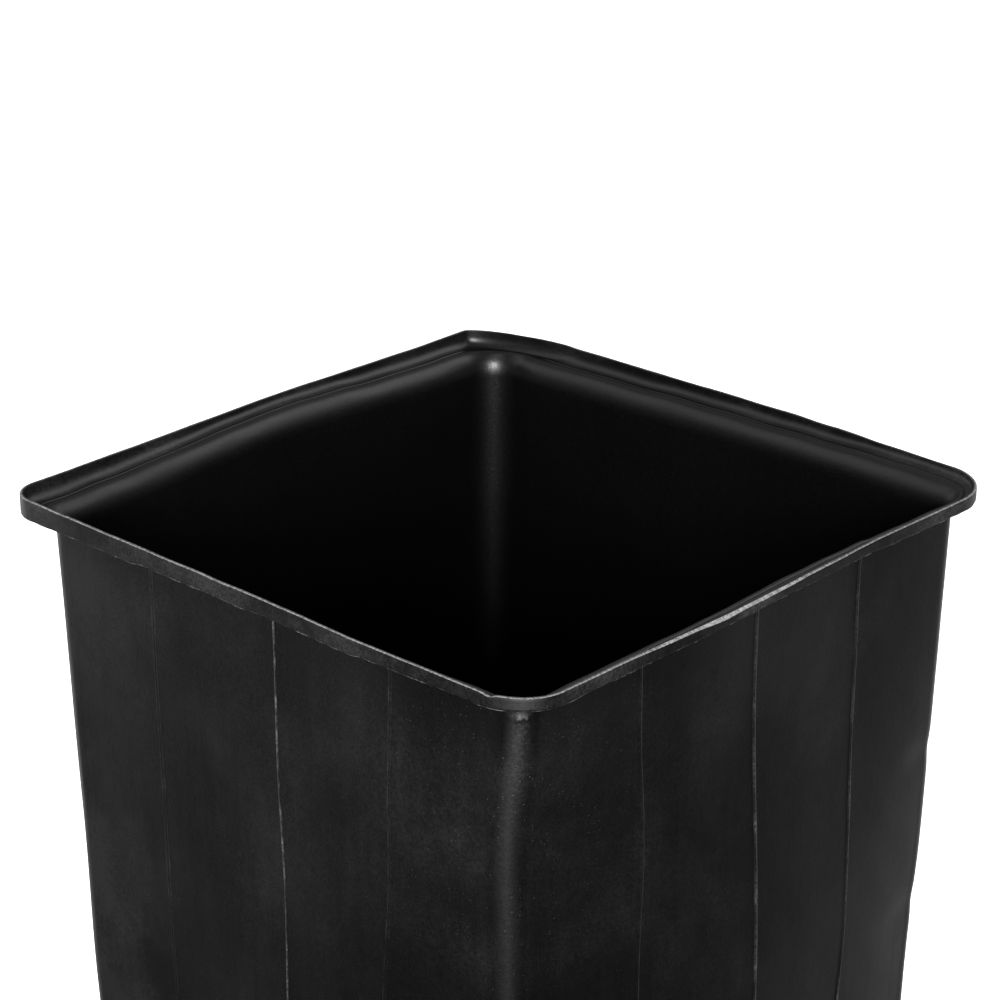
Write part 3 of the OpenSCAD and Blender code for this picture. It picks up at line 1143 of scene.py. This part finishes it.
def material_for(context, slot):
    """The material of a slot of the record, made once."""
    name = "finish_" + slot
    found = bpy.data.materials.get(name)
    if found:
        return found
    haziness = {"black_polyethylene": 1.0, "rubbed_rib": 1.2, "trimmed_lip": 4.2}[slot]
    return plastic(name, context.scene.bucket_finish, haziness)


# ---------------------------------------------------------------- pieces


def publish(context, mesh, name, node, slot):
    """Shows a mesh as the piece that stands for a node of the frame."""
    piece = bpy.data.objects.new(name, mesh)
    context.scene.collection.objects.link(piece)
    mesh.materials.append(material_for(context, slot))
    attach(piece, "root")
    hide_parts(node)
    return piece


def publish_region(context, node, slot):
    """Shows one region of the skin."""
    skin = skin_for(*shape_sizes(context))
    points, quads, normals, wear = skin.region(node)
    mesh = mesh_of("moulded_" + node, points, quads)
    keep_wear(mesh, wear)
    mesh.normals_split_custom_set(normals.reshape(-1, 3).tolist())
    return publish(context, mesh, "moulded_" + node, node, slot)


class BucketShapeSettings(bpy.types.PropertyGroup):
    """Sizes that the moulding's looks depend on."""

    shrinkage: bpy.props.FloatProperty(
        name="Shrinkage",
        description="How much narrower the cooled moulding is than its nominal plan",
        default=1.04,
        min=0,
        max=3,
        subtype="PERCENTAGE",
    )
    swell: bpy.props.FloatProperty(
        name="Wall swell",
        description="How far the fullest wall has swollen outwards",
        default=7 * MM,
        min=0,
        max=10 * MM,
        unit="LENGTH",
    )
    trim_slant: bpy.props.FloatProperty(
        name="Trim slant",
        description="How far the cut through the lip slopes where the knife ran off level",
        default=0.6 * MM,
        min=0,
        max=2.5 * MM,
        unit="LENGTH",
    )
    burr: bpy.props.FloatProperty(
        name="Burr",
        description="How far the ragged burr under the lip stands out",
        default=0.3 * MM,
        min=0,
        max=1 * MM,
        unit="LENGTH",
    )
    rib_height: bpy.props.FloatProperty(
        name="Rib height",
        description="How far a full rib stands proud of its wall",
        default=0.4 * MM,
        min=0,
        max=1 * MM,
        unit="LENGTH",
    )
    rib_width: bpy.props.FloatProperty(
        name="Rib width",
        description="Width of a full rib at its foot",
        default=1.0 * MM,
        min=0.4 * MM,
        max=3 * MM,
        unit="LENGTH",
    )


class BucketFinishSettings(bpy.types.PropertyGroup):
    """Colours and surface of the plastic."""

    plastic_colour: bpy.props.FloatVectorProperty(
        name="Plastic",
        description="Colour of the moulded plastic",
        default=(0.0006, 0.0006, 0.00062),
        min=0,
        max=1,
        subtype="COLOR",
    )
    haze_grey: bpy.props.FloatProperty(
        name="Haze",
        description="Brightness of the plastic where it is hazy",
        default=0.0045,
        min=0,
        max=1,
        subtype="FACTOR",
    )
    # also the grey of the highlight painted on the front corner
    trimmed_and_highlight_grey: bpy.props.FloatProperty(
        name="Trimmed grey",
        description="Brightness of cut or rubbed plastic",
        default=0.16,
        min=0,
        max=1,
        subtype="FACTOR",
    )
    roughness: bpy.props.FloatProperty(
        name="Roughness",
        description="Roughness of the moulded surface",
        default=0.4,
        min=0.1,
        max=1,
        subtype="FACTOR",
    )
    sheen: bpy.props.FloatProperty(
        name="Gloss",
        description="Strength of the surface reflection",
        default=0.22,
        min=0,
        max=1,
        subtype="FACTOR",
    )
    bump_strength: bpy.props.FloatProperty(
        name="Texture depth",
        description="Depth of the grain and streaks",
        default=0.35,
        min=0,
        max=1,
        subtype="FACTOR",
    )


class StudioSettings(bpy.types.PropertyGroup):
    """The floor, lights and camera."""

    floor_colour: bpy.props.FloatVectorProperty(
        name="Floor",
        description="Colour of the floor",
        default=(0.86, 0.86, 0.86),
        min=0,
        max=1,
        subtype="COLOR",
    )
    floor_glow: bpy.props.FloatProperty(
        name="Floor glow",
        description="Light that the floor gives off, so that it stays pale",
        default=0.8,
        min=0,
        max=2,
    )
    low_light: bpy.props.FloatProperty(
        name="Low light",
        description="Brightness of the room below the bucket",
        default=0.085,
        min=0,
        max=5,
    )
    front_light: bpy.props.FloatProperty(
        name="Front light",
        description="Brightness of the room beside the camera",
        default=0.1,
        min=0,
        max=5,
    )
    back_light: bpy.props.FloatProperty(
        name="Back light",
        description="Brightness that the room gains behind the bucket",
        default=0.15,
        min=0,
        max=5,
    )
    top_light: bpy.props.FloatProperty(
        name="Top light",
        description="Brightness that the room gains overhead",
        default=0.4,
        min=0,
        max=5,
    )
    key_power: bpy.props.FloatProperty(
        name="Key light",
        description="Power of the lamp beside the camera",
        default=66.0,
        min=0,
        unit="POWER",
    )
    azimuth: bpy.props.FloatProperty(
        name="Camera azimuth",
        description="Direction of the camera, from the front towards the right",
        default=math.radians(42.70),
        subtype="ANGLE",
    )
    elevation: bpy.props.FloatProperty(
        name="Camera elevation",
        description="Height of the camera above level",
        default=math.radians(22.81),
        subtype="ANGLE",
    )
    roll: bpy.props.FloatProperty(
        name="Camera roll",
        description="Turn of the camera about its own axis",
        default=math.radians(0.226),
        subtype="ANGLE",
    )
    distance: bpy.props.FloatProperty(
        name="Camera distance",
        description="Distance from the middle of the rim to the camera",
        default=0.9790,
        min=0.1,
        unit="LENGTH",
    )
    lens: bpy.props.FloatProperty(
        name="Lens",
        description="Focal length",
        default=104.98,
        min=10,
        unit="CAMERA",
    )


def around(azimuth, elevation, distance, height):
    """A place seen from the bucket's axis at a height, azimuth from the front to the right."""
    flat = distance * math.cos(elevation)
    x = flat * math.sin(azimuth)
    y = -flat * math.cos(azimuth)
    return Vector((x, y, height + distance * math.sin(elevation)))


class BUCKET_OT_base(bpy.types.Operator):
    """Builds the raised base panel, the standing ring and the heel"""

    bl_idname = "bucket.base"
    bl_label = "Base"

    def execute(self, context):
        for node in ("base_panel", "foot_ring", "heel_ring"):
            publish_region(context, node, "black_polyethylene")
        return {"FINISHED"}


class BUCKET_OT_walls(bpy.types.Operator):
    """Builds the four walls"""

    bl_idname = "bucket.walls"
    bl_label = "Walls"

    def execute(self, context):
        for side in SIDES:
            publish_region(context, side + "_wall", "black_polyethylene")
        return {"FINISHED"}


class BUCKET_OT_corners(bpy.types.Operator):
    """Builds the four rounded corners"""

    bl_idname = "bucket.corners"
    bl_label = "Corners"

    def execute(self, context):
        for corner in CORNERS:
            publish_region(context, corner + "_corner", "black_polyethylene")
        return {"FINISHED"}


class BUCKET_OT_ribs(bpy.types.Operator):
    """Builds the slim upright ribs of every wall"""

    bl_idname = "bucket.ribs"
    bl_label = "Ribs"

    def execute(self, context):
        settings = context.scene.bucket_shape
        shape = Shape(*shape_sizes(context))
        for side in SIDES:
            parts = []
            for number, rib in enumerate(WALL_RIBS[side]):
                sizes = (settings.rib_height, settings.rib_width)
                parts.append(rib_mesh(side, rib, number, shape, *sizes))
            mesh = joined_mesh("moulded_" + side + "_ribs", parts)
            publish(context, mesh, "moulded_" + side + "_ribs", side + "_ribs", "rubbed_rib")
        return {"FINISHED"}


class BUCKET_OT_rim(bpy.types.Operator):
    """Builds the flared ledge and the trimmed lip"""

    bl_idname = "bucket.rim"
    bl_label = "Rim"

    def execute(self, context):
        publish_region(context, "rim_ledge", "black_polyethylene")
        publish_region(context, "rim_lip", "trimmed_lip")
        return {"FINISHED"}


# Pale patches of the room: azimuth from the camera's, elevation, reach, strength
ROOM_PATCHES = (
    (-34, -8, 28, 2.0),
    (-4, -5, 29, 8.0),
    (26, -8, 28, 1.5),
    (-124, -9, 33, 2.05),
    (138, -14, 40, 0.8),
    (-88, 32, 30, 1.9),
    (100, 32, 30, 3.8),
)
# The lamp: azimuth from the camera's, elevation, distance from the rim, width and height
KEY_AZIMUTH = -3
KEY_ELEVATION = 17
KEY_DISTANCE = 1.6
KEY_SIZE = (0.5, 0.4)
# How far the camera lies to the left of and below the line to the rim's middle
CAMERA_OFFSET = (2.13 * MM, 5.10 * MM)
FLOOR_REACH = 30.0


class BUCKET_OT_studio(bpy.types.Operator):
    """Sets up the pale floor, the soft lights and the camera"""

    bl_idname = "bucket.studio"
    bl_label = "Studio"

    def execute(self, context):
        scene = context.scene
        settings = scene.bucket_studio
        self.floor(scene, settings)
        self.room(scene, settings)
        self.lamp(scene, settings)
        self.camera(scene, settings)
        return {"FINISHED"}

    def floor(self, scene, settings):
        """A wide round floor."""
        mesh = bpy.data.meshes.new("floor")
        shape = bmesh.new()
        bmesh.ops.create_circle(shape, cap_ends=True, segments=96, radius=FLOOR_REACH)
        shape.to_mesh(mesh)
        shape.free()
        paper = studio_paper("studio_paper", settings.floor_colour, settings.floor_glow)
        mesh.materials.append(paper)
        floor = bpy.data.objects.new("floor", mesh)
        scene.collection.objects.link(floor)
        floor.visible_glossy = False
        floor.visible_diffuse = False

    def room(self, scene, settings):
        """The room's soft light: pale behind and above, dark below, with a few pale patches."""
        world = bpy.data.worlds.new("room")
        scene.world = world
        paint = Paint(world)
        way = paint.node("ShaderNodeTexCoord", output="Generated")
        up = paint.node("ShaderNodeSeparateXYZ", {}, {0: way}, output="Z")

        def facing(azimuth, elevation):
            values = {0: way, 1: around(azimuth, elevation, 1, 0)}
            return paint.node(
                "ShaderNodeVectorMath", {"operation": "DOT_PRODUCT"}, values, output="Value"
            )

        behind = facing(settings.azimuth + math.pi, 0)
        light = settings.low_light + up.between(-0.12, 0.2) * (
            settings.front_light
            + behind.between(-0.6, 0.5) * settings.back_light
            + up.between(0.3, 1.0) * settings.top_light
        )
        for azimuth, elevation, reach, strength in ROOM_PATCHES:
            near = facing(settings.azimuth + math.radians(azimuth), math.radians(elevation))
            edge = math.cos(math.radians(reach))
            light = light + near.between(edge, 1) * strength
        seen = paint.node("ShaderNodeLightPath", output="Is Camera Ray")
        white = (1, 1, 1, 1)
        lit = paint.node("ShaderNodeBackground", {}, {"Color": white, "Strength": light})
        pale = paint.node("ShaderNodeBackground", {}, {"Color": white, "Strength": 1.0})
        mixed = paint.node("ShaderNodeMixShader", {}, {0: seen, 1: lit, 2: pale})
        paint.node("ShaderNodeOutputWorld", {}, {"Surface": mixed})
        scene.view_settings.view_transform = "Standard"

    def lamp(self, scene, settings):
        """A soft lamp beside the camera."""
        light = bpy.data.lights.new("key", "AREA")
        light.shape = "RECTANGLE"
        light.size, light.size_y = KEY_SIZE
        light.energy = settings.key_power
        lamp = bpy.data.objects.new("key", light)
        scene.collection.objects.link(lamp)
        azimuth = settings.azimuth + math.radians(KEY_AZIMUTH)
        place = around(azimuth, math.radians(KEY_ELEVATION), KEY_DISTANCE, LIP_TOP)
        lamp.location = place
        way = Vector((0, 0, LIP_TOP)) - place
        lamp.rotation_euler = way.to_track_quat("-Z", "Y").to_euler()

    def camera(self, scene, settings):
        """The camera, a little off the rim's middle."""
        lens = bpy.data.cameras.new("camera")
        lens.lens = settings.lens
        lens.sensor_width = 36
        lens.clip_end = 100
        camera = bpy.data.objects.new("camera", lens)
        scene.collection.objects.link(camera)
        azimuth = settings.azimuth
        elevation = settings.elevation
        back = around(azimuth, elevation, 1, 0)
        right = Vector((math.cos(azimuth), math.sin(azimuth), 0))
        up = back.cross(right)
        to_left, down = CAMERA_OFFSET
        place = Vector((0, 0, LIP_TOP)) + back * settings.distance
        place = place - right * to_left - up * down
        axes = Matrix((right, up, back)).transposed().to_4x4()
        roll = Matrix.Rotation(settings.roll, 4, "Z")
        camera.matrix_world = Matrix.Translation(place) @ axes @ roll
        scene.camera = camera


class BUCKET_PT_panel(bpy.types.Panel):
    """Builds the bucket piece by piece"""

    bl_idname = "BUCKET_PT_panel"
    bl_label = "Florist bucket"
    bl_space_type = "VIEW_3D"
    bl_region_type = "UI"
    bl_category = "Florist bucket"

    def draw(self, context):
        layout = self.layout
        for title, group in SETTING_GROUPS:
            box = layout.box()
            box.label(text=title)
            settings = getattr(context.scene, group)
            for name in settings.bl_rna.properties.keys():
                if name not in ("rna_type", "name"):
                    box.prop(settings, name)
        for operator in OPERATORS:
            layout.operator(operator.bl_idname)


SETTING_GROUPS = (
    ("Shape", "bucket_shape"),
    ("Finish", "bucket_finish"),
    ("Studio", "bucket_studio"),
)
OPERATORS = (
    BUCKET_OT_base,
    BUCKET_OT_walls,
    BUCKET_OT_corners,
    BUCKET_OT_ribs,
    BUCKET_OT_rim,
    BUCKET_OT_studio,
)
CLASSES = (
    BucketShapeSettings,
    BucketFinishSettings,
    StudioSettings,
    *OPERATORS,
    BUCKET_PT_panel,
)


def register():
    """Adds the classes and the settings."""
    for item in CLASSES:
        bpy.utils.register_class(item)
    scene = bpy.types.Scene
    scene.bucket_shape = bpy.props.PointerProperty(type=BucketShapeSettings)
    scene.bucket_finish = bpy.props.PointerProperty(type=BucketFinishSettings)
    scene.bucket_studio = bpy.props.PointerProperty(type=StudioSettings)


def unregister():
    """Takes the settings and the classes away again."""
    for _, group in SETTING_GROUPS:
        delattr(bpy.types.Scene, group)
    for item in reversed(CLASSES):
        bpy.utils.unregister_class(item)


def main():
    """Builds every piece and the studio."""
    register()
    bpy.ops.bucket.base()
    bpy.ops.bucket.walls()
    bpy.ops.bucket.corners()
    bpy.ops.bucket.ribs()
    bpy.ops.bucket.rim()
    bpy.ops.bucket.studio()


if __name__ == "__main__":
    main()
